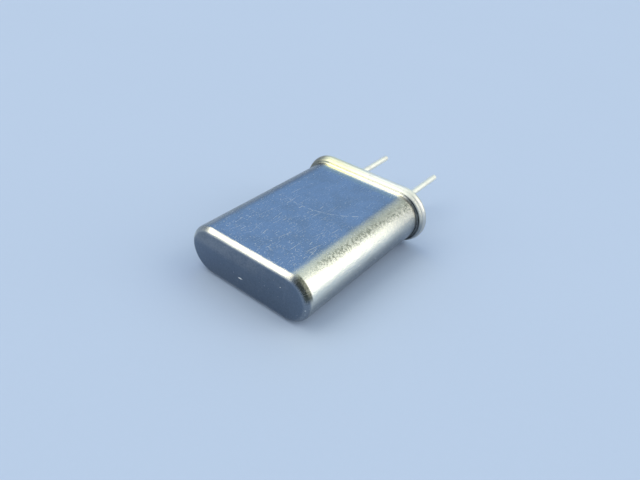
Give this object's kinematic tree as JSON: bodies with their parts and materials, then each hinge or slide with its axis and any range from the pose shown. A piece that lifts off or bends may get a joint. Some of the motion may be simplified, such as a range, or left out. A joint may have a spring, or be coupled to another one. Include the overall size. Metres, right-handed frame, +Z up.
{
  "type": "crystal oscillator",
  "caption": "Drawn metal can with rounded sides and closed end, flange-welded to a base whose glass-sealed wire leads carry a clip-held quartz disc that sets a steady frequency.",
  "frame": {"origin": "centre of the seating plane, the base's flat outer face, midway between the leads", "axes": "+X across the leads, +Y out along the leads, +Z up, square to the flat side that lies uppermost"},
  "size_m": [0.011, 0.0201, 0.0046],
  "materials": {
    "can_metal": "nickel plated, satin, finely scratched",
    "base_metal": "nickel plated, satin",
    "seal_glass": "dark fired glass",
    "tinned_wire": "tinned, dull",
    "spring_metal": "nickel plated ribbon",
    "quartz": "lapped and etched",
    "silver_film": "evaporated silver, satin",
    "silver_adhesive": "silver-filled, cured"
  },
  "bodies": {
    "root": {"can": "can_metal", "base": "base_metal", "left_glass_seal": "seal_glass", "right_glass_seal": "seal_glass", "left_lead": "tinned_wire", "right_lead": "tinned_wire", "left_spring_clip": "spring_metal", "right_spring_clip": "spring_metal", "quartz_blank": "quartz", "upper_electrode": "silver_film", "lower_electrode": "silver_film", "left_bond": "silver_adhesive", "right_bond": "silver_adhesive"}
  },
  "joints": []
}
